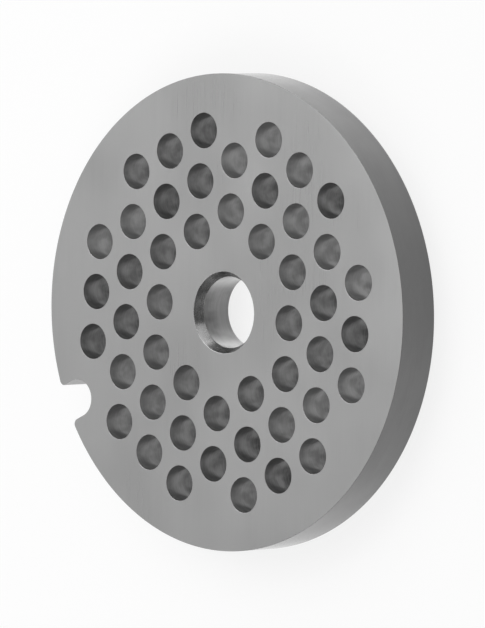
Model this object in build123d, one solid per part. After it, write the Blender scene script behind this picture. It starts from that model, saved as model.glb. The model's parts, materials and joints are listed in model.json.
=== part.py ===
"""Meat grinder plate: the perforated steel disc at the mouth of a mincer.

One flat disc, turned and ground from plain steel bar, 48 straight drilled holes, a central
bore that runs on the spigot of the feed screw, and one keyway slot in the rim that keeps the
plate from turning. The rotating knife wipes the top face, so the edges of the holes stay
sharp there and act as the second half of a pair of shears.

Frame, millimetres: the plate lies flat on XY with +Z along the bore and the countersunk
cutting face up. The origin is the centre of the bore on the bottom face. The keyway opens
towards +X.
"""
from build123d import *
from math import hypot, radians, sin, tan
import os

# ---------------------------------------------------------------- driving dimensions
plate_diameter = 53.5
plate_thickness = 5.2
rim_edge_break = 0.1

hole_diameter = 4.0
hole_pitch = 5.7
hole_field_inner = 1.5 * hole_pitch
hole_field_outer = 3.7 * hole_pitch

bore_diameter = 8.0
countersink_diameter = 9.2
countersink_angle = 60.0
bore_back_break = 0.1

keyway_width = 4.25
keyway_depth = 4.0
keyway_mouth_radius = 0.6

# ---------------------------------------------------------------- sizes that follow
plate_radius = plate_diameter / 2
row_spacing = hole_pitch * sin(radians(60))
countersink_depth = (countersink_diameter - bore_diameter) / 2 / tan(radians(countersink_angle / 2))
keyway_centre_x = plate_radius - keyway_depth + keyway_width / 2
rows_each_way = round(hole_field_outer / row_spacing) + 1


def hole_centres():
    """Centres of the drilled holes.

    The holes sit on a triangular lattice with one point on the bore's axis and a row along X.
    The centre and the first ring of six are left out, so that solid metal stays round the
    bore, and the field ends at the last full ring before the rim. The next lattice point
    along each row would lie on the rim, and the keyway takes the place of the one at +X.
    """
    centres = []
    for row in range(-rows_each_way, rows_each_way + 1):
        for step in range(-2 * rows_each_way, 2 * rows_each_way + 1):
            x = (step + row / 2) * hole_pitch
            y = row * row_spacing
            if hole_field_inner < hypot(x, y) < hole_field_outer:
                centres.append((x, y))
    return centres


def blank():
    """The turned disc: a revolved half section with the edge breaks of the rim."""
    with BuildPart() as disc:
        with BuildSketch(Plane.XZ) as half_section:
            with Locations((plate_radius / 2, plate_thickness / 2)):
                Rectangle(plate_radius, plate_thickness)
            rim_corners = half_section.vertices().sort_by(Axis.X)[-2:]
            chamfer(rim_corners, length=rim_edge_break)
        revolve(axis=Axis.Z)
    return disc.part


def bore_tool():
    """What the lathe takes out of the middle: the bore, its countersink and the back break."""
    bore_radius = bore_diameter / 2
    countersink_radius = countersink_diameter / 2
    with BuildPart() as tool:
        with BuildSketch(Plane.XZ):
            with BuildLine():
                Polyline(
                    (0, 0),
                    (bore_radius + bore_back_break, 0),
                    (bore_radius, bore_back_break),
                    (bore_radius, plate_thickness - countersink_depth),
                    (countersink_radius, plate_thickness),
                    (0, plate_thickness),
                    close=True,
                )
            make_face()
        revolve(axis=Axis.Z)
    return tool.part


def drill_pattern():
    """All the drills at once: one straight cylinder for each meat hole."""
    with BuildPart() as drills:
        with Locations(*[(x, y, 0) for x, y in hole_centres()]):
            Cylinder(
                hole_diameter / 2,
                plate_thickness,
                align=(Align.CENTER, Align.CENTER, Align.MIN),
            )
    return drills.part


def keyway_tool():
    """The end mill's path for the keyway: a slot with a round inner end, open at the rim."""
    reach = plate_radius + keyway_width
    with BuildPart() as cutter:
        with BuildSketch():
            SlotCenterToCenter(reach - keyway_centre_x, keyway_width)
        extrude(amount=plate_thickness)
    return cutter.part.moved(Location(((reach + keyway_centre_x) / 2, 0, 0)))


def keyway_mouth_edges(plate):
    """The two upright edges where the keyway's flanks run out through the rim."""
    def on_the_mouth(edge):
        middle = edge.center()
        return middle.X > keyway_centre_x and abs(abs(middle.Y) - keyway_width / 2) < rim_edge_break

    return plate.edges().filter_by(Axis.Z).filter_by(on_the_mouth)


def grinder_plate():
    plate = blank() - keyway_tool()
    plate = fillet(keyway_mouth_edges(plate), keyway_mouth_radius)
    plate = plate - bore_tool() - drill_pattern()
    plate.label = "grinder_plate"
    return plate


os.makedirs("parts", exist_ok=True)
plate = grinder_plate()
export_step(plate, "parts/grinder_plate.step")

print("holes", len(hole_centres()))
print("countersink depth", round(countersink_depth, 3), "bore wall",
      round(plate_thickness - countersink_depth - bore_back_break, 3))
print("volume mm3", round(plate.volume, 1), "mass g", round(plate.volume * 7.85e-3, 1))
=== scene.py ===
# %% [markdown]
# # Dressing a meat grinder plate
#
# The object is one disc of steel: turned on a lathe, drilled, and surface-ground on both sides.
# Nothing on it moves. What makes it look real is therefore not a pile of pieces but two things:
# edges that are truly round and only just broken, and six zones of bare steel that each carry
# the marks of the tool that made them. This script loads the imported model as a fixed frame,
# builds one fine mesh of the same plate over it, and gives each zone its own finish.

# %% Load the frame
import json
from math import pi, radians

import bpy
import numpy as np
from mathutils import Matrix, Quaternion, Vector
from mathutils.geometry import delaunay_2d_cdt


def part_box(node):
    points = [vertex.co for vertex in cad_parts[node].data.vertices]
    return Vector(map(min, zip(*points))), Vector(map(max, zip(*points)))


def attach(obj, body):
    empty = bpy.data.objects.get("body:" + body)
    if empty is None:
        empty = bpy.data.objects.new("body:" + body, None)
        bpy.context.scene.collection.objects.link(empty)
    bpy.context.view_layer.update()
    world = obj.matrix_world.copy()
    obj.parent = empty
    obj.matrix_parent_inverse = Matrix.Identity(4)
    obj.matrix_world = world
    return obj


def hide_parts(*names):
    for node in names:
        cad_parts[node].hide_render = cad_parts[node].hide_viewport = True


MM = 0.001
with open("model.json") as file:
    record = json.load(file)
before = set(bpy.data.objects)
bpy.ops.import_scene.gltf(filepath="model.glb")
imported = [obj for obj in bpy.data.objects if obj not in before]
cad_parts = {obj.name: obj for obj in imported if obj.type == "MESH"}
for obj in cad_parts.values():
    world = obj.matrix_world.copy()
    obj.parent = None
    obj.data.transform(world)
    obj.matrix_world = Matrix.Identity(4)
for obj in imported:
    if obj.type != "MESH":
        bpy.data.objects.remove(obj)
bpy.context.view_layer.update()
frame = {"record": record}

# %% [markdown]
# ## Sizes
#
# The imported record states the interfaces, so the sizes that other parts depend on are read from
# it: the rim, the bore, the place of the keyway. The rest are the plate's own drawing sizes, in
# millimetres. All of them are turned into metres here once, because Blender's unit is the metre.

# %% Read and name the sizes
mounts = {mount["name"]: mount for mount in frame["record"]["mounts"]}
plate_low, plate_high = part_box("grinder_plate")

plate_thickness = plate_high.z - plate_low.z
plate_radius = mounts["rim"]["dims"]["r_mm"] * MM
bore_radius = mounts["bore"]["dims"]["r_mm"] * MM
keyway_centre_x = mounts["keyway"]["pos_m"][0]

rim_edge_break = 0.04 * MM
countersink_radius = 4.6 * MM
countersink_depth = 1.04 * MM
countersink_edge_break = 0.03 * MM
countersink_foot_break = 0.05 * MM
bore_back_break = 0.1 * MM
bore_back_round = 0.03 * MM
hole_radius = 2.0 * MM
hole_pitch = 5.7 * MM
hole_edge_break = 0.03 * MM
keyway_radius = 2.125 * MM
keyway_mouth_radius = 0.6 * MM
print("plate radius, mm:", round(plate_radius / MM, 2), "thickness, mm:", round(plate_thickness / MM, 2))

# %% [markdown]
# ## Camera
#
# The plate lies flat on its back, and the camera looks down on it with a long lens from almost a
# metre away, rolled on its side so that the plate hangs upright in the picture. A long lens
# keeps the near and far rim almost the same size, as pictures in a catalogue do. The camera is
# placed by where it stands round the plate, how high, how far, and how it is rolled; a matrix
# copied from elsewhere would say none of that to a reader.

# %% Helper: a direction from two angles
def direction(azimuth, elevation):
    """(cos az cos el, sin az cos el, sin el), with both angles in degrees."""
    az, el = radians(azimuth), radians(elevation)
    return Vector((np.cos(az) * np.cos(el), np.sin(az) * np.cos(el), np.sin(el)))


# %% Place the camera
camera_azimuth = 158.80
camera_elevation = 47.39
camera_roll = radians(-92.51)
camera_distance = 0.913
camera_aim = Vector((-0.00256, 0.00127, plate_thickness))
lens_mm = 468.8
sensor_mm = 36.0

toward_camera = direction(camera_azimuth, camera_elevation)
camera_data = bpy.data.cameras.new("camera")
camera_data.lens = lens_mm
camera_data.sensor_width = sensor_mm
camera = bpy.data.objects.new("camera", camera_data)
camera.location = camera_aim + toward_camera * camera_distance
camera.rotation_mode = "QUATERNION"
camera.rotation_quaternion = (
    toward_camera.to_track_quat("Z", "Y") @ Quaternion((0, 0, 1), camera_roll)
)
bpy.context.scene.collection.objects.link(camera)
bpy.context.scene.camera = camera
print("camera at, m:", [round(v, 3) for v in camera.location])

# %% [markdown]
# ## The light
#
# Bare steel has almost no colour of its own: it shows what it faces. So the light is a plain
# studio, a tent of wide soft boxes and a weak even fill, and each box has one job:
#
# - the wide box stands across from the camera, where the flat face mirrors it, and gives the face
#   its even grey;
# - the high box is close by, a little off that mirror line, and lightens one side of the face;
# - the left box lights one end of the rim, and the right and upper boxes light the other;
# - the front box is dim, because it faces the middle of the rim, which stays darker;
# - the low box, by the edge of the table, finds the cone of the countersink;
# - the top box is straight above and lights the table inside the holes.
#
# Each box is sized by its brightness, because a mirror-like surface shows brightness and not
# power: a lamp of area A that gives P watts has brightness P / (pi A). Together they light the
# table by about 1, so a colour comes out about as it is written.

# %% Helper: a soft box aimed at the plate
def soft_box(name, azimuth, elevation, distance, width, height, brightness):
    """A rectangular area lamp that faces the plate from the given direction."""
    away = direction(azimuth, elevation)
    data = bpy.data.lights.new(name, "AREA")
    data.shape = "RECTANGLE"
    data.size = width
    data.size_y = height
    data.energy = brightness * pi * width * height
    lamp = bpy.data.objects.new(name, data)
    lamp.location = away * distance
    lamp.rotation_mode = "QUATERNION"
    lamp.rotation_quaternion = away.to_track_quat("Z", "Y")
    bpy.context.scene.collection.objects.link(lamp)
    print(name, "watts:", round(data.energy, 2))


# %% Light the set
soft_box("wide_box", azimuth=310, elevation=52, distance=0.5, width=0.9, height=0.5, brightness=0.67)
soft_box("high_box", azimuth=297, elevation=62, distance=0.5, width=0.25, height=0.25, brightness=2.1)
soft_box("left_box", azimuth=268, elevation=32, distance=1.0, width=1.5, height=1.0, brightness=1.6)
soft_box("right_box", azimuth=45, elevation=30, distance=1.0, width=1.0, height=0.9, brightness=1.4)
soft_box("upper_box", azimuth=90, elevation=52, distance=1.0, width=1.1, height=0.6, brightness=1.2)
soft_box("front_box", azimuth=150, elevation=44, distance=1.2, width=1.7, height=0.9, brightness=0.4)
soft_box("low_box", azimuth=214, elevation=7.5, distance=0.8, width=0.85, height=0.22, brightness=1.55)
soft_box("top_box", azimuth=0, elevation=90, distance=0.9, width=0.6, height=0.6, brightness=0.65)

# %% Add the even fill
fill_strength = 0.1
world = bpy.data.worlds.new("even_fill")
world.use_nodes = True
fill = world.node_tree.nodes["Background"]
fill.inputs["Color"].default_value = (1, 1, 1, 1)
fill.inputs["Strength"].default_value = fill_strength
bpy.context.scene.world = world
bpy.context.scene.view_settings.view_transform = "Standard"
print("even fill strength:", fill_strength)

# %% [markdown]
# ## The table
#
# A plain white table runs out past every edge of the picture. White paint alone would come out
# grey in the plate's shadow and, through the bore, darker still. So most of what the camera and
# the steel see of the table is a glow just under strength 1, which is white, and the rest is
# paint, which keeps the shadow. Light Path picks out the rays that see: the camera's own, those
# mirrored in the steel, and those that would come through glass. The rays that carry light from
# one dull surface to another meet the paint alone.

# %% Lay the table under the plate
floor_half = 3.0
floor_gap = 0.01 * MM
floor_mesh = bpy.data.meshes.new("table")
floor_mesh.from_pydata(
    [
        (-floor_half, -floor_half, -floor_gap),
        (floor_half, -floor_half, -floor_gap),
        (floor_half, floor_half, -floor_gap),
        (-floor_half, floor_half, -floor_gap),
    ],
    [],
    [(0, 1, 2, 3)],
)
table = bpy.data.objects.new("table", floor_mesh)
bpy.context.scene.collection.objects.link(table)
print("table, m across:", 2 * floor_half)

# %% Paint the table
table_grey = 0.85
table_roughness = 0.9
glow_strength = 0.98
glow_share = 0.8
table_paint = bpy.data.materials.new("table_white")
table_paint.use_nodes = True
table_nodes = table_paint.node_tree.nodes
table_links = table_paint.node_tree.links
table_shader = table_nodes["Principled BSDF"]
table_shader.inputs["Base Color"].default_value = (table_grey, table_grey, table_grey, 1)
table_shader.inputs["Roughness"].default_value = table_roughness
table_shader.inputs["Specular IOR Level"].default_value = 0.0
glow = table_nodes.new("ShaderNodeEmission")
glow.inputs["Strength"].default_value = glow_strength

ray_kind = table_nodes.new("ShaderNodeLightPath")
share_so_far = None
for ray in ("Is Camera Ray", "Is Glossy Ray", "Is Transmission Ray"):
    add_ray = table_nodes.new("ShaderNodeMath")
    add_ray.operation = "MULTIPLY_ADD"
    table_links.new(ray_kind.outputs[ray], add_ray.inputs[0])
    add_ray.inputs[1].default_value = glow_share
    add_ray.inputs[2].default_value = 0.0
    if share_so_far:
        table_links.new(share_so_far, add_ray.inputs[2])
    share_so_far = add_ray.outputs["Value"]

paint_or_glow = table_nodes.new("ShaderNodeMixShader")
table_links.new(share_so_far, paint_or_glow.inputs["Fac"])
table_links.new(table_shader.outputs["BSDF"], paint_or_glow.inputs[1])
table_links.new(glow.outputs["Emission"], paint_or_glow.inputs[2])
table_links.new(paint_or_glow.outputs["Shader"], table_nodes["Material Output"].inputs["Surface"])
floor_mesh.materials.append(table_paint)
print("table nodes:", len(table_nodes))

# %% [markdown]
# ## The lines that bound the metal
#
# Seen from above, the plate is bounded by fifty closed lines: the outline with its keyway, the
# bore, and forty-eight holes. A real plate is cut along these same lines, by the lathe, the end
# mill and the drills. Each line is worked out as points with the direction that leads out of the
# metal at each of them. All lines run with the metal on their left, so the outline turns
# anticlockwise and every hole clockwise, and one rule for which way is out serves them all.

# %% Helper: an arc, and a whole circular hole
def arc(centre_x, centre_y, radius, start, end, count, hollow=False):
    """Points on an arc and the way out of the metal there.

    Point = centre + radius * (cos a, sin a), for a from start to end. The way out is
    (cos a, sin a), or its opposite where the arc bounds a hollow.
    """
    angle = np.linspace(start, end, count)
    ray = np.stack([np.cos(angle), np.sin(angle)], axis=1)
    return np.array([centre_x, centre_y]) + radius * ray, -ray if hollow else ray


def hole_line(centre_x, centre_y, radius, count):
    """The arc from a whole turn down to 0, so clockwise, without its first point again."""
    points, out = arc(centre_x, centre_y, radius, 2 * pi, 0, count + 1, hollow=True)
    return points[:-1], out[:-1]


# %% [markdown]
# The outline is a circle broken by the keyway. The keyway is a U: two flanks along X, a round
# inner end that an end mill leaves, and two mouth corners rounded over so that the locating pin
# of the machine finds its way in. A mouth corner is a small circle that touches the flank and the
# rim from inside, so its centre lies at the keyway's half width plus the corner's radius from the
# X axis, and at the plate's radius minus the corner's radius from the middle of the plate.

# %% The outline with its keyway
rim_points = 600
mouth_points = 12
keyway_end_points = 48

corner_y = keyway_radius + keyway_mouth_radius
corner_x = np.sqrt((plate_radius - keyway_mouth_radius) ** 2 - corner_y**2)
corner_angle = np.arctan2(corner_y, corner_x)


def outline_line():
    """Four arcs end to end: rim, lower mouth corner, the keyway's round end, upper corner.

    The straight flanks need no points of their own, because the ends of the arcs bound them.
    """
    rim = arc(0, 0, plate_radius, corner_angle, 2 * pi - corner_angle, rim_points)
    lower = arc(corner_x, -corner_y, keyway_mouth_radius, -corner_angle, pi / 2, mouth_points)
    end = arc(keyway_centre_x, 0, keyway_radius, 1.5 * pi, 0.5 * pi, keyway_end_points, hollow=True)
    upper = arc(corner_x, corner_y, keyway_mouth_radius, -pi / 2, corner_angle, mouth_points)
    parts = [rim, (lower[0][1:], lower[1][1:]), end, (upper[0][:-1], upper[1][:-1])]
    return np.concatenate([p for p, _ in parts]), np.concatenate([n for _, n in parts])


outline, outline_out = outline_line()
keyway_share = 1 - rim_points / len(outline)
print("outline points:", len(outline), "of them in the keyway:", round(keyway_share, 3))

# %% [markdown]
# The holes follow a triangular lattice, because that packs the most openings with an even web of
# metal between them. One lattice point is the bore's axis. It and its first ring of six stay
# solid, and so does everything past the last full ring.

# %% Where the holes are
solid_within = 1.5 * hole_pitch
solid_beyond = 3.7 * hole_pitch
lattice_steps = np.arange(-8, 9)


def hole_centres():
    """Lattice points (i + j / 2, j sqrt(3) / 2) * pitch that lie in the ring of holes."""
    i, j = np.meshgrid(lattice_steps, lattice_steps)
    x = (i + j / 2) * hole_pitch
    y = j * np.sqrt(3) / 2 * hole_pitch
    distance = np.hypot(x, y)
    drilled = (distance > solid_within) & (distance < solid_beyond)
    return np.stack([x[drilled], y[drilled]], axis=1)


centres = hole_centres()
print("holes:", len(centres))

# %% [markdown]
# ## The edges that are carried along those lines
#
# Every wall of the plate is a short upright profile carried along one of the lines: down the rim,
# down the keyway, down each hole. The profile holds how far the surface stands back into the
# metal and how high it is. Its corners are rounded by a tenth of a millimetre or less. That is
# the difference between a drawing and a made thing, because a rounded edge always finds a light to
# catch. A bevel modifier would do it too, but it would have to guess at forty-eight rings of
# thin triangles, while here each edge is exactly as wide as it is asked to be.

# %% Helper: a profile with rounded corners
land = 0.2 * MM
corner_steps = 4
holding_reach = 4 / 3


def soft_profile(corners, breaks):
    """Rounds the inner corners of a polyline of (inset, height) points.

    Each corner C with neighbours A and B becomes the curve
    (1 - t)^2 P + 2 t (1 - t) C + t^2 Q, for t from 0 to 1, where P and Q lie one break
    length from C towards A and B. A holding point stands a third of a break before P and
    after Q, so that the smooth shading of the round doesn't spread over its neighbours.
    A third column is 1 on the round and 0 off it, and the finishes use it later.
    """
    corners = np.column_stack([corners, np.zeros(len(corners))])
    t = np.linspace(0, 1, corner_steps + 1)[:, None]
    on_edge = np.array([0, 0, 1])
    rows = [corners[:1]]
    for before, corner, after, size in zip(corners, corners[1:], corners[2:], breaks):
        back = (before - corner) / np.linalg.norm(before - corner) * size
        onward = (after - corner) / np.linalg.norm(after - corner) * size
        curve = corner + (1 - t) ** 2 * back + t**2 * onward + on_edge
        rows += [corner + back[None] * holding_reach, curve, corner + onward[None] * holding_reach]
    return np.concatenate([*rows, corners[-1:]])


# %% The three profiles
top, bottom = plate_thickness, 0.0
rim_profile = soft_profile(
    [(2 * land, top), (0, top), (0, bottom), (2 * land, bottom)],
    [rim_edge_break, rim_edge_break],
)
hole_profile = soft_profile(
    [(land, top), (0, top), (0, bottom), (land, bottom)],
    [hole_edge_break, hole_edge_break],
)
countersink_width = countersink_radius - bore_radius
bore_profile = soft_profile(
    [
        (countersink_width + land, top),
        (countersink_width, top),
        (0, top - countersink_depth),
        (0, bore_back_break),
        (bore_back_break, bottom),
        (bore_back_break + land, bottom),
    ],
    [countersink_edge_break, countersink_foot_break, bore_back_round, bore_back_round],
)
print("rows in the profiles:", len(rim_profile), len(hole_profile), len(bore_profile))

# %% [markdown]
# ## One closed mesh
#
# Carrying a profile along a line gives a grid of points, one row for each profile point. The first
# row lies on the top face and the last on the bottom face. What is left open is the flat metal
# between all the first rows, and the same between all the last rows. A constrained Delaunay
# triangulation fills it: it joins the given points into well-shaped triangles and keeps every
# given line as an edge. The lines of the two faces match point for point, so the triangles
# found for the top serve the bottom too, turned over.

# %% Helpers: the grid of one wall, and its quads
def carry(points, out, profile):
    """P(row, point) = (point - inset(row) * out, height(row)), as rows * points vertices."""
    flat = points[None] - profile[:, :1, None] * out[None]
    height = np.broadcast_to(profile[:, 1:2, None], (*flat.shape[:2], 1))
    return np.concatenate([flat, height], axis=2).reshape(-1, 3)


def wall_quads(first, rows, count):
    """Quads (row, point), (row + 1, point), (row + 1, point + 1), (row, point + 1).

    Vertex number = first + row * count + point, and the point after the last is point 0.
    """
    row, point = np.meshgrid(np.arange(rows - 1), np.arange(count), indexing="ij")
    here = first + row * count + point
    there = first + row * count + (point + 1) % count
    return np.stack([here, here + count, there + count, there], axis=-1).reshape(-1, 4)


# %% Carry every profile along its line
FACE, RIM, BORE, COUNTERSINK, HOLE, KEYWAY = zone_numbers = range(6)
hole_points = 72
bore_points = 144

walls = [(outline, outline_out, rim_profile, RIM, (0, 0))]
walls.append((*hole_line(0, 0, bore_radius, bore_points), bore_profile, BORE, (0, 0)))
walls += [(*hole_line(x, y, hole_radius, hole_points), hole_profile, HOLE, (x, y)) for x, y in centres]

vertices, quads, zones, top_rings, bottom_rings = [], [], [], [], []
edge_marks, cut_centres = [], []
vertex_count = 0
for points, out, profile, zone, (centre_x, centre_y) in walls:
    rows, count = len(profile), len(points)
    vertices.append(carry(points, out, profile))
    edge_marks.append(np.repeat(profile[:, 2], count))
    wall = wall_quads(vertex_count, rows, count)
    cut_centres.append(np.tile([centre_x, centre_y, 0], (len(wall), 1)))
    quads.append(wall)
    zones.append(np.full(len(wall), zone))
    top_rings.append(vertex_count + np.arange(count))
    bottom_rings.append(vertex_count + (rows - 1) * count + np.arange(count))
    vertex_count += rows * count
vertices, quads, zones = np.concatenate(vertices), np.concatenate(quads), np.concatenate(zones)
edge_marks, cut_centres = np.concatenate(edge_marks), np.concatenate(cut_centres)
print("vertices:", len(vertices), "quads:", len(quads))

# %% Fill the flat faces between the lines
inside_only = 1
same_point = 1e-7


def fill_flat(rings):
    """Triangles of the metal between the rings, as numbers into the rings laid end to end.

    The first ring is the outline, and the others are holes, turned round here so that all run
    anticlockwise. The triangulation works in millimetres and says which rings each triangle
    is inside, and metal is inside the outline alone.
    """
    spots = vertices[np.concatenate(rings), :2] / MM
    ends = np.cumsum([0] + [len(ring) for ring in rings])
    faces = [list(range(a, b)) for a, b in zip(ends, ends[1:])]
    faces[1:] = [face[::-1] for face in faces[1:]]
    found = delaunay_2d_cdt([Vector(spot) for spot in spots], [], faces, inside_only, same_point, True)
    _, _, triangles, sources, _, owners = found
    original = np.array([source[0] for source in sources])
    metal = [triangle for triangle, owner in zip(triangles, owners) if list(owner) == [0]]
    return original[np.array(metal)]


flat = fill_flat(top_rings)
top_triangles = np.concatenate(top_rings)[flat]
bottom_triangles = np.concatenate(bottom_rings)[flat][:, ::-1]
print("triangles in a face:", len(flat))

# %% [markdown]
# Each quad and triangle keeps the zone it belongs to, because the six zones are finished by
# different tools. The quads of the top and bottom land count as face: the grinding wheel ran over
# them too. The countersink's quads are the sloping ones high in the bore, and the keyway's are
# the part of the outline that lies in the slot. How far a quad slopes is the upward part of its
# normal: 0 on an upright wall, 1 on a flat face.

# %% Sort the walls into finishes
cone_tilt = 0.25
flat_tilt = 0.999
corner_places = vertices[quads]
middles = corner_places.mean(axis=1)
across = corner_places[:, 2] - corner_places[:, 0]
normals = np.cross(corner_places[:, 1] - corner_places[:, 3], across)
normals /= np.linalg.norm(normals, axis=1, keepdims=True)
in_keyway = (zones == RIM) & (middles[:, 0] > 0) & (np.abs(middles[:, 1]) < corner_y)
on_cone = (zones == BORE) & (normals[:, 2] > cone_tilt) & (middles[:, 2] > top - countersink_depth)
zones = np.where(in_keyway, KEYWAY, zones)
zones = np.where(on_cone, COUNTERSINK, zones)
zones = np.where(np.abs(normals[:, 2]) > flat_tilt, FACE, zones)
cut_centres[zones == FACE] = 0
print("quads by zone:", [int((zones == zone).sum()) for zone in zone_numbers])

# %% Make the mesh
def mesh_from(name, vertices, faces, face_zones):
    """A mesh object whose faces are smooth and carry their zone as material number."""
    mesh = bpy.data.meshes.new(name)
    mesh.from_pydata(vertices, [], faces)
    mesh.polygons.foreach_set("material_index", face_zones)
    mesh.polygons.foreach_set("use_smooth", np.ones(len(faces), bool))
    mesh.validate()
    mesh.update()
    made = bpy.data.objects.new(name, mesh)
    bpy.context.scene.collection.objects.link(made)
    return made


faces = quads.tolist() + top_triangles.tolist() + bottom_triangles.tolist()
face_zones = np.concatenate([zones, np.full(2 * len(flat), FACE)]).astype(np.int32)
plate = mesh_from("plate_steel", vertices, faces, face_zones)
print("faces in the plate:", len(plate.data.polygons))

# %% [markdown]
# Two things that the finishes need can't be worked out from a place alone, so they are stored in
# the mesh as attributes: on each point, whether it lies on a broken edge, and on each face, the
# centre of the cut that made it. With the centre known, one pattern of tool marks can turn round
# forty-nine axes. It is stored on faces and not on points, because the points of a hole's edge
# belong to the flat face too, and there the centre must stay in the middle of the plate.

# %% Store the edge mark on the points and the cut centre on the faces
edge_attribute = plate.data.attributes.new("edge_mark", "FLOAT", "POINT")
edge_attribute.data.foreach_set("value", edge_marks.astype(np.float32))
face_centres = np.concatenate([cut_centres, np.zeros((2 * len(flat), 3))]).astype(np.float32)
centre_attribute = plate.data.attributes.new("cut_centre", "FLOAT_VECTOR", "FACE")
centre_attribute.data.foreach_set("vector", face_centres.ravel())
print("points on broken edges:", int(edge_marks.sum()))

# %% Measure the mesh
def signed_volume(mesh):
    """Sum over triangles of a . (b x c) / 6: positive when the faces point outwards."""
    mesh.calc_loop_triangles()
    corner = np.empty(len(mesh.loop_triangles) * 3, np.int32)
    mesh.loop_triangles.foreach_get("vertices", corner)
    place = np.empty(len(mesh.vertices) * 3)
    mesh.vertices.foreach_get("co", place)
    a, b, c = place.reshape(-1, 3)[corner.reshape(-1, 3)].transpose(1, 0, 2)
    return float(np.einsum("ij,ij->i", a, np.cross(b, c)).sum() / 6)


print("volume, mm3:", round(signed_volume(plate.data) / MM**3, 1))
print("triangles:", len(plate.data.loop_triangles))

# %% [markdown]
# ## Wiring helpers
#
# A procedural material is a small program drawn as boxes and wires. Written out call by call it
# hides its own meaning, so four helpers do the wiring: each adds one node, feeds it with numbers
# or with the sockets of other nodes, and hands back its result. The feeding is a helper too.

# %% Helpers: nodes that are fed and give back a socket
def feed(tree, node, values):
    """Sets each input in turn to a number, or links it to a socket."""
    for socket, value in zip(node.inputs, values):
        if isinstance(value, bpy.types.NodeSocket):
            tree.links.new(value, socket)
        else:
            socket.default_value = value


def calculate(tree, operation, *values):
    """One Math node."""
    node = tree.nodes.new("ShaderNodeMath")
    node.operation = operation
    feed(tree, node, values)
    return node.outputs["Value"]


def calculate_vector(tree, operation, *values):
    """One Vector Math node."""
    node = tree.nodes.new("ShaderNodeVectorMath")
    node.operation = operation
    feed(tree, node, values)
    return node.outputs["Vector"]


def noise(tree, place, detail=2.0):
    """Soft random values, 0 to 1, that change over about one unit of the place given."""
    node = tree.nodes.new("ShaderNodeTexNoise")
    node.inputs["Scale"].default_value = 1.0
    node.inputs["Detail"].default_value = detail
    tree.links.new(place, node.inputs["Vector"])
    return node.outputs["Fac"]


def spread(tree, value, low=0.25, high=0.75):
    """Moves the range low..high to 0..1 with soft ends. A noise seldom leaves 0.25 to 0.75."""
    node = tree.nodes.new("ShaderNodeMapRange")
    node.interpolation_type = "SMOOTHSTEP"
    feed(tree, node, (value, low, high, 0.0, 1.0))
    return node.outputs["Result"]


# %% [markdown]
# ## What the tools leave behind, as three effects
#
# Every surface of the plate was cut or ground, and all of them share three things. There are fine
# grooves that follow the cutting tool. There are cloudy patches where the tool pressed unevenly
# or a film of oil stayed. And there are edges that were stoned and then rubbed bright. Each
# effect is one shader node group with named inputs, built once and set differently in each
# finish, as the same grinding wheel is set differently for each job.
#
# The grooves are a noise that is stretched a long way round the cut and squeezed along its axis.
# Turning the place by an angle that grows with the height first makes the grooves climb, which is
# what a drill leaves. A wave texture would be tidier, but real grooves start and fade.

# %% Helper: an empty group with named sockets
def effect(name, inputs, outputs):
    """A shader node group whose sockets are all plain numbers."""
    group = bpy.data.node_groups.new(name, "ShaderNodeTree")
    for label, value in inputs.items():
        socket = group.interface.new_socket(label, in_out="INPUT", socket_type="NodeSocketFloat")
        socket.default_value = value
    for label in outputs:
        group.interface.new_socket(label, in_out="OUTPUT", socket_type="NodeSocketFloat")
    return group, group.nodes.new("NodeGroupInput"), group.nodes.new("NodeGroupOutput")


def named_value(tree, name, output):
    """Reads an attribute that was stored in the mesh."""
    node = tree.nodes.new("ShaderNodeAttribute")
    node.attribute_name = name
    return node.outputs[output]


def squeeze(tree, place, across, along):
    """place / (across, across, along): patterns of one unit get that size in metres."""
    size = tree.nodes.new("ShaderNodeCombineXYZ")
    feed(tree, size, (across, across, along))
    return calculate_vector(tree, "DIVIDE", place, size.outputs["Vector"])


# %% The tool marks
tool_marks, marks_in, marks_out = effect(
    "tool_marks", {"Spacing": 0.1 * MM, "Reach": 4 * MM, "Twist": 0.0}, ["Groove"]
)
place = tool_marks.nodes.new("ShaderNodeTexCoord").outputs["Object"]
centre = named_value(tool_marks, "cut_centre", "Vector")
from_axis = calculate_vector(tool_marks, "SUBTRACT", place, centre)
split = tool_marks.nodes.new("ShaderNodeSeparateXYZ")
tool_marks.links.new(place, split.inputs["Vector"])
turn = tool_marks.nodes.new("ShaderNodeVectorRotate")
turn.rotation_type = "Z_AXIS"
tool_marks.links.new(from_axis, turn.inputs["Vector"])
tool_marks.links.new(
    calculate(tool_marks, "MULTIPLY", split.outputs["Z"], marks_in.outputs["Twist"]),
    turn.inputs["Angle"],
)
grooves = squeeze(
    tool_marks, turn.outputs["Vector"], marks_in.outputs["Reach"], marks_in.outputs["Spacing"]
)
tool_marks.links.new(spread(tool_marks, noise(tool_marks, grooves)), marks_out.inputs["Groove"])
print("tool_marks nodes:", len(tool_marks.nodes))

# %% [markdown]
# The patches are the same kind of noise at the scale of millimetres. Adding a multiple of the
# cut's centre to the place moves every hole to its own part of the noise, so that no two holes
# are alike. The same trick at a coarser scale gives each hole a shade of its own, because each
# was drilled by a drill that was a little duller than for the one before.

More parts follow.
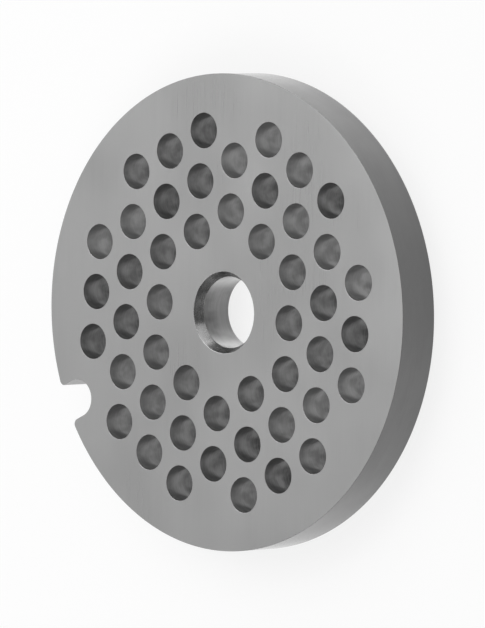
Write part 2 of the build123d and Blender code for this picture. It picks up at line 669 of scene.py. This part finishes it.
# %% The patches
moves_per_cut = 7.3
shade_width = 2.3 * MM
soft_patches, patches_in, patches_out = effect(
    "soft_patches", {"Width": 3 * MM, "Height": 3 * MM}, ["Patch", "Own Shade"]
)
place = soft_patches.nodes.new("ShaderNodeTexCoord").outputs["Object"]
centre = named_value(soft_patches, "cut_centre", "Vector")
moved = calculate_vector(soft_patches, "SCALE", centre)
moved.node.inputs["Scale"].default_value = moves_per_cut
own_place = calculate_vector(soft_patches, "ADD", place, moved)
patches = squeeze(
    soft_patches, own_place, patches_in.outputs["Width"], patches_in.outputs["Height"]
)
soft_patches.links.new(
    spread(soft_patches, noise(soft_patches, patches), low=0.3, high=0.7),
    patches_out.inputs["Patch"],
)
own = calculate_vector(soft_patches, "SCALE", centre)
own.node.inputs["Scale"].default_value = 1 / shade_width
soft_patches.links.new(
    spread(soft_patches, noise(soft_patches, own, detail=0.0)), patches_out.inputs["Own Shade"]
)
print("soft_patches nodes:", len(soft_patches.nodes))

# %% [markdown]
# The bright edges come from the mark stored on the points, broken up by a noise, because a stone
# held in the hand skips.

# %% The rubbed edges
rubbed_edge, rubbed_in, rubbed_out = effect("rubbed_edge", {"Skip": 1.5 * MM}, ["Bright"])
place = rubbed_edge.nodes.new("ShaderNodeTexCoord").outputs["Object"]
skips = squeeze(rubbed_edge, place, rubbed_in.outputs["Skip"], rubbed_in.outputs["Skip"])
rubbed_edge.links.new(
    calculate(
        rubbed_edge,
        "MULTIPLY",
        named_value(rubbed_edge, "edge_mark", "Fac"),
        spread(rubbed_edge, noise(rubbed_edge, skips, detail=1.0), low=0.35, high=0.6),
    ),
    rubbed_out.inputs["Bright"],
)
print("rubbed_edge nodes:", len(rubbed_edge.nodes))

# %% [markdown]
# ## Bare steel
#
# All six finishes are the same bare metal, so they start from one function. The Principled shader
# with Metallic at 1 reflects its base colour head on and turns white at a grazing look, as metal
# does. Grooves that all run one way spread a reflection across themselves and not along: that is
# the shader's Anisotropic value, and its tangent says which way the reflection spreads. Every
# turned, reamed and drilled wall of this plate has its grooves round an upright axis, so one
# tangent, straight up, is right for all of them.
#
# A plate like this leaves the works oiled against rust. A cloth takes the oil off the flat faces
# and leaves it on the walls. The film is the shader's Coat: clear, smooth, and seen as a second
# and sharper reflection where the look grazes it.

# %% Helpers: a steel material, and what is wired into it
def bare_steel(name, spread_upward=0.0, oil=0.0, oil_roughness=0.12):
    """A metal material, the plate's next: the calls come in the order of the zone numbers.

    spread_upward is how much the grooves round Z stretch its reflections.
    """
    material = bpy.data.materials.new(name)
    material.use_nodes = True
    tree = material.node_tree
    shader = tree.nodes["Principled BSDF"]
    shader.inputs["Metallic"].default_value = 1.0
    shader.inputs["Anisotropic"].default_value = spread_upward
    shader.inputs["Coat Weight"].default_value = oil
    shader.inputs["Coat Roughness"].default_value = oil_roughness
    if spread_upward:
        upward = tree.nodes.new("ShaderNodeVectorTransform")
        upward.vector_type = "VECTOR"
        upward.convert_from = "OBJECT"
        upward.convert_to = "WORLD"
        upward.inputs["Vector"].default_value = (0, 0, 1)
        tree.links.new(upward.outputs["Vector"], shader.inputs["Tangent"])
    plate.data.materials.append(material)
    return tree, shader


def place_effect(tree, group, **settings):
    """Puts an effect in a material and sets its named inputs."""
    node = tree.nodes.new("ShaderNodeGroup")
    node.node_tree = group
    for label, value in settings.items():
        node.inputs[label].default_value = value
    return node.outputs


def around(tree, middle, *parts):
    """middle + (mask - 0.5) * swing for each mask, 0 to 1, and the swing it is given with."""
    total = middle
    for mask, swing in parts:
        off_middle = calculate(tree, "SUBTRACT", mask, 0.5)
        total = calculate(tree, "MULTIPLY_ADD", off_middle, swing, total)
    return total


def dress(tree, shader, tone, roughness, grooves, groove_depth):
    """Wires a grey tone, a roughness, and a relief whose grooves have the given depth."""
    colour = tree.nodes.new("ShaderNodeCombineColor")
    feed(tree, colour, (tone, tone, tone))
    tree.links.new(colour.outputs["Color"], shader.inputs["Base Color"])
    tree.links.new(roughness, shader.inputs["Roughness"])
    bump = tree.nodes.new("ShaderNodeBump")
    bump.inputs["Distance"].default_value = groove_depth
    tree.links.new(grooves, bump.inputs["Height"])
    tree.links.new(bump.outputs["Normal"], shader.inputs["Normal"])


# %% [markdown]
# ## The ground face
#
# The two flat faces were run under a grinding wheel and then lapped, so that the knife seals
# against them. From a step away that is an even satin grey. Close up there are straight hair
# lines, all one way, and slow clouds where the lapping was not quite even. The lines are noise
# squeezed across one direction and stretched along the other by a Mapping node. It is turned to
# an angle of its own, because nobody lays a plate on the grinder square to its keyway.

# %% Finish the ground face
MICRON = 0.001 * MM
hair_direction = radians(64)
hair_length = 9 * MM
hair_width = 0.07 * MM
face_grey = 0.368
face_roughness = 0.34

face_tree, face_shader = bare_steel("ground_face")
lay = face_tree.nodes.new("ShaderNodeMapping")
lay.vector_type = "TEXTURE"
lay.inputs["Rotation"].default_value = (0, 0, hair_direction)
lay.inputs["Scale"].default_value = (hair_length, hair_width, 1.0)
face_place = face_tree.nodes.new("ShaderNodeTexCoord").outputs["Object"]
face_tree.links.new(face_place, lay.inputs["Vector"])
hair_lines = spread(face_tree, noise(face_tree, lay.outputs["Vector"]))
clouds = place_effect(face_tree, soft_patches, Width=14 * MM, Height=14 * MM)["Patch"]
rubbed = place_effect(face_tree, rubbed_edge)["Bright"]
dress(
    face_tree,
    face_shader,
    tone=around(face_tree, face_grey, (clouds, 0.03), (hair_lines, 0.012)),
    roughness=around(
        face_tree, face_roughness, (hair_lines, 0.05), (clouds, 0.04), (rubbed, 0.06)
    ),
    grooves=hair_lines,
    groove_depth=0.15 * MICRON,
)
print("ground face nodes:", len(face_tree.nodes))

# %% [markdown]
# ## The turned rim
#
# The rim was turned and then ground round, and its grey is set darker than the faces'. Its
# grooves run round the plate, so it smears what it faces straight up and down: the table below
# and the lamps above run into one soft band. It turns bright where the look grazes it.

# %% Finish the turned rim
rim_grey = 0.205
rim_roughness = 0.58

rim_tree, rim_shader = bare_steel("turned_rim", spread_upward=0.9, oil=1.0, oil_roughness=0.12)
rim_grooves = place_effect(rim_tree, tool_marks, Spacing=0.12 * MM, Reach=8 * MM)["Groove"]
rim_patches = place_effect(rim_tree, soft_patches, Width=5 * MM, Height=2.5 * MM)["Patch"]
rim_rubbed = place_effect(rim_tree, rubbed_edge)["Bright"]
dress(
    rim_tree,
    rim_shader,
    tone=around(
        rim_tree, rim_grey, (rim_patches, 0.035), (rim_grooves, 0.02), (rim_rubbed, 0.03)
    ),
    roughness=around(rim_tree, rim_roughness, (rim_grooves, 0.06), (rim_patches, 0.08)),
    grooves=rim_grooves,
    groove_depth=0.5 * MICRON,
)
print("turned rim nodes:", len(rim_tree.nodes))

# %% [markdown]
# ## The bore and its countersink
#
# The bore was reamed, because the spigot of the feed screw turns in it. A reamer leaves a smooth
# wall with a few rings. The side of the wall by the keyway, which faces the camera, is painted
# darker and the far side lighter: painted shade and painted light. The side is found with a dot
# product. The place on the wall times a direction of length one is how far it lies that way, from
# minus the bore's radius to plus the radius.
#
# The countersink was cut in one short plunge, so it is cleaner and shows only fine rings with a
# little chatter.

# %% Finish the reamed bore
bore_grey = 0.435
bore_roughness = 0.5
# Where the painted shade on the bore wall points, and where it starts.
painted_shade_direction = radians(-26)
painted_shade_from = 0.35 * bore_radius

bore_tree, bore_shader = bare_steel("reamed_bore", spread_upward=0.9, oil=1.0, oil_roughness=0.1)
bore_grooves = place_effect(bore_tree, tool_marks, Spacing=0.3 * MM, Reach=3 * MM)["Groove"]
bore_patches = place_effect(bore_tree, soft_patches, Width=2.6 * MM, Height=4 * MM)["Patch"]
bore_rubbed = place_effect(bore_tree, rubbed_edge)["Bright"]
how_far = bore_tree.nodes.new("ShaderNodeVectorMath")
how_far.operation = "DOT_PRODUCT"
bore_place = bore_tree.nodes.new("ShaderNodeTexCoord").outputs["Object"]
feed(bore_tree, how_far, (bore_place, (np.cos(painted_shade_direction), np.sin(painted_shade_direction), 0)))
# Painted shade: the side of the wall that faces the camera comes out darker, the other side lighter.
painted_shade_side = spread(bore_tree, how_far.outputs["Value"], low=painted_shade_from, high=bore_radius)
dress(
    bore_tree,
    bore_shader,
    tone=around(
        bore_tree,
        bore_grey,
        (painted_shade_side, -0.48),
        (bore_patches, 0.14),
        (bore_grooves, 0.05),
        (bore_rubbed, 0.05),
    ),
    roughness=around(bore_tree, bore_roughness, (bore_grooves, 0.08), (bore_patches, -0.12)),
    grooves=bore_grooves,
    groove_depth=2.5 * MICRON,
)
print("reamed bore nodes:", len(bore_tree.nodes))

# %% Finish the countersink
cone_grey = 0.355
cone_roughness = 0.26

cone_tree, cone_shader = bare_steel("countersink_cone", spread_upward=0.4)
cone_grooves = place_effect(cone_tree, tool_marks, Spacing=0.12 * MM, Reach=1.6 * MM)["Groove"]
cone_patches = place_effect(cone_tree, soft_patches, Width=0.9 * MM, Height=0.9 * MM)["Patch"]
cone_rubbed = place_effect(cone_tree, rubbed_edge)["Bright"]
dress(
    cone_tree,
    cone_shader,
    tone=around(
        cone_tree, cone_grey, (cone_patches, 0.04), (cone_grooves, 0.02), (cone_rubbed, 0.04)
    ),
    roughness=around(cone_tree, cone_roughness, (cone_grooves, 0.04), (cone_patches, 0.04)),
    grooves=cone_grooves,
    groove_depth=0.6 * MICRON,
)
print("countersink nodes:", len(cone_tree.nodes))

# %% [markdown]
# ## The drilled holes
#
# A twist drill is a rough tool: it scores the wall in a climbing screw line, smears some of the
# metal bright and leaves the rest dull. The wall is also painted darker towards the back of the
# hole and lighter towards the front: painted shade in the hollow. Each hole has a shade of its
# own, and the marks climb.

# %% Finish the drilled holes
hole_grey = 0.236
hole_roughness = 0.4
screw_turn = -0.5 / MM

hole_tree, hole_shader = bare_steel("drilled_hole", spread_upward=0.5, oil=0.6, oil_roughness=0.15)
hole_grooves = place_effect(
    hole_tree, tool_marks, Spacing=0.25 * MM, Reach=1.5 * MM, Twist=screw_turn
)["Groove"]
hole_clouds = place_effect(hole_tree, soft_patches, Width=1.3 * MM, Height=1.6 * MM)
hole_rubbed = place_effect(hole_tree, rubbed_edge)["Bright"]
hole_height = hole_tree.nodes.new("ShaderNodeSeparateXYZ")
feed(hole_tree, hole_height, (hole_tree.nodes.new("ShaderNodeTexCoord").outputs["Object"],))
# Painted shade: the wall is darker towards the back of the hole and lighter towards the front.
painted_shade_by_depth = spread(hole_tree, hole_height.outputs["Z"], low=0.0, high=plate_thickness)
dress(
    hole_tree,
    hole_shader,
    tone=around(
        hole_tree,
        hole_grey,
        (painted_shade_by_depth, 0.22),
        (hole_clouds["Patch"], 0.08),
        (hole_clouds["Own Shade"], 0.135),
        (hole_grooves, 0.05),
        (hole_rubbed, 0.05),
    ),
    roughness=around(
        hole_tree, hole_roughness, (hole_grooves, 0.08), (hole_clouds["Patch"], -0.1)
    ),
    grooves=hole_grooves,
    groove_depth=2 * MICRON,
)
print("drilled hole nodes:", len(hole_tree.nodes))

# %% [markdown]
# ## The milled keyway
#
# The keyway was cut by an end mill after the rim was done, so its flanks are the newest and
# brightest metal on the plate. The mill's teeth leave upright ridges close together: the same
# effect as on the lathe work, with its spacing and reach exchanged.

# %% Finish the milled keyway
keyway_grey = 0.345
keyway_roughness = 0.32

keyway_tree, keyway_shader = bare_steel("milled_keyway")
keyway_grooves = place_effect(keyway_tree, tool_marks, Spacing=3 * MM, Reach=0.15 * MM)["Groove"]
keyway_patches = place_effect(keyway_tree, soft_patches, Width=1.5 * MM, Height=2 * MM)["Patch"]
keyway_rubbed = place_effect(keyway_tree, rubbed_edge)["Bright"]
dress(
    keyway_tree,
    keyway_shader,
    tone=around(
        keyway_tree,
        keyway_grey,
        (keyway_patches, 0.08),
        (keyway_grooves, 0.06),
        (keyway_rubbed, 0.04),
    ),
    roughness=around(
        keyway_tree, keyway_roughness, (keyway_grooves, 0.1), (keyway_patches, 0.08)
    ),
    grooves=keyway_grooves,
    groove_depth=1.5 * MICRON,
)
print("milled keyway nodes:", len(keyway_tree.nodes))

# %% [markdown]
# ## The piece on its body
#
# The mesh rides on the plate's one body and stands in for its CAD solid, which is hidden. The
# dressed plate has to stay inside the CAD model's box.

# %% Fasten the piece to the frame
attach(plate, "root")
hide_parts("grinder_plate")
